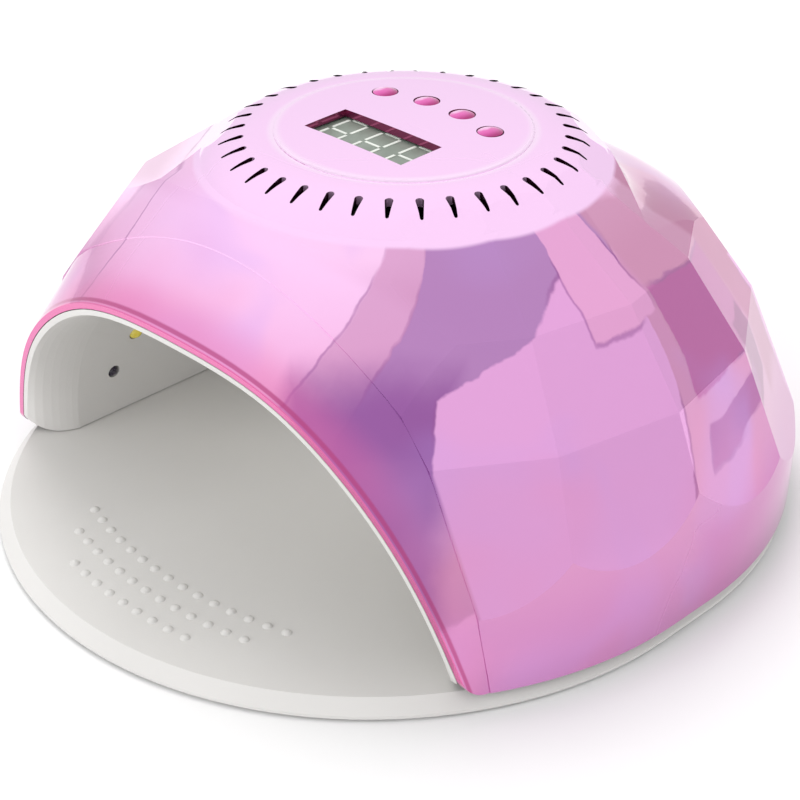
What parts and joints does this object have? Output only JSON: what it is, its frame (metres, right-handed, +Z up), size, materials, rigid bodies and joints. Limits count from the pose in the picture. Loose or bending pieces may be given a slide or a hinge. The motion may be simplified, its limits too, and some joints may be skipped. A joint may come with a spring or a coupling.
{
  "type": "uv led nail lamp",
  "caption": "Domed table lamp for curing gel nails: faceted pink shell over a white tunnel open at the front, magnetic base plate, top display and push buttons.",
  "frame": {"origin": "on the table under the middle of the base plate", "axes": "+Z up, -Y towards the user (the arch opening), +X to the user's right when facing the opening"},
  "size_m": [0.2274, 0.2459, 0.1153],
  "materials": {
    "pink_plating": "gloss pink plating with a lilac colour shift",
    "white_shell": "satin white moulded plastic",
    "button_pink": "gloss pink plating",
    "foot_rubber": "matt black rubber",
    "zinc_steel": "zinc plated",
    "nickel": "nickel plated",
    "board_green": "solder mask on glass laminate",
    "display_grey": "matt grey face",
    "display_white": "matt translucent white",
    "tin": "tinned",
    "black_plastic": "matt moulded",
    "capacitor_sleeve": "shrink sleeve",
    "ferrite": "sintered, matt",
    "connector_white": "natural nylon",
    "lamp_yellow": "clear tinted silicone",
    "chip_white": "ceramic white",
    "strip_white": "white solder mask",
    "sensor_dark": "dark tinted epoxy",
    "lead_red": "smooth flexible insulation",
    "lead_black": "smooth flexible insulation",
    "lead_white": "smooth flexible insulation",
    "lead_yellow": "smooth flexible insulation"
  },
  "bodies": {
    "base": {"base_plate": "white_shell", "base_feet": "foot_rubber", "keeper_discs": "zinc_steel"},
    "housing": {"outer_shell": "pink_plating", "inner_liner": "white_shell", "housing_magnets": "nickel", "shell_screws": "zinc_steel", "control_board": "board_green", "display_body": "display_grey", "display_segments": "display_white", "display_pins": "tin", "switch_bodies": "black_plastic", "board_screws": "zinc_steel", "controller_chip": "black_plastic", "driver_transistors": "black_plastic", "smoothing_capacitors": "capacitor_sleeve", "driver_inductor": "ferrite", "chip_resistors": "black_plastic", "board_connectors": "connector_white", "lead_plugs": "connector_white", "led_lenses": "lamp_yellow", "led_chips": "chip_white", "led_strip_front": "strip_white", "led_strip_middle": "strip_white", "led_strip_rear": "strip_white", "ir_emitter": "sensor_dark", "ir_receiver": "sensor_dark", "sensor_board_left": "board_green", "sensor_board_right": "board_green", "dc_jack": "black_plastic", "dc_jack_pin": "nickel", "dc_jack_nut": "nickel", "power_lead_red": "lead_red", "power_lead_black": "lead_black", "led_lead_front": "lead_white", "led_lead_middle": "lead_white", "led_lead_rear": "lead_white", "sensor_lead_left": "lead_yellow", "sensor_lead_right": "lead_yellow"},
    "button_1": {"timer_button_1": "button_pink", "switch_plunger_1": "black_plastic"},
    "button_2": {"timer_button_2": "button_pink", "switch_plunger_2": "black_plastic"},
    "button_3": {"timer_button_3": "button_pink", "switch_plunger_3": "black_plastic"},
    "button_4": {"timer_button_4": "button_pink", "switch_plunger_4": "black_plastic"}
  },
  "joints": [
    {"name": "housing_lift", "type": "slide", "parent": "base", "child": "housing", "axis": [0, 0, 1], "range_m": [0, 0.12]},
    {"name": "button_1_press", "type": "slide", "parent": "housing", "child": "button_1", "axis": [0, 0, -1], "range_m": [0, 0.0006], "stiffness_N_per_m": 1500, "springref_m": -0.0006},
    {"name": "button_2_press", "type": "slide", "parent": "housing", "child": "button_2", "axis": [0, 0, -1], "range_m": [0, 0.0006], "stiffness_N_per_m": 1500, "springref_m": -0.0006},
    {"name": "button_3_press", "type": "slide", "parent": "housing", "child": "button_3", "axis": [0, 0, -1], "range_m": [0, 0.0006], "stiffness_N_per_m": 1500, "springref_m": -0.0006},
    {"name": "button_4_press", "type": "slide", "parent": "housing", "child": "button_4", "axis": [0, 0, -1], "range_m": [0, 0.0006], "stiffness_N_per_m": 1500, "springref_m": -0.0006}
  ]
}
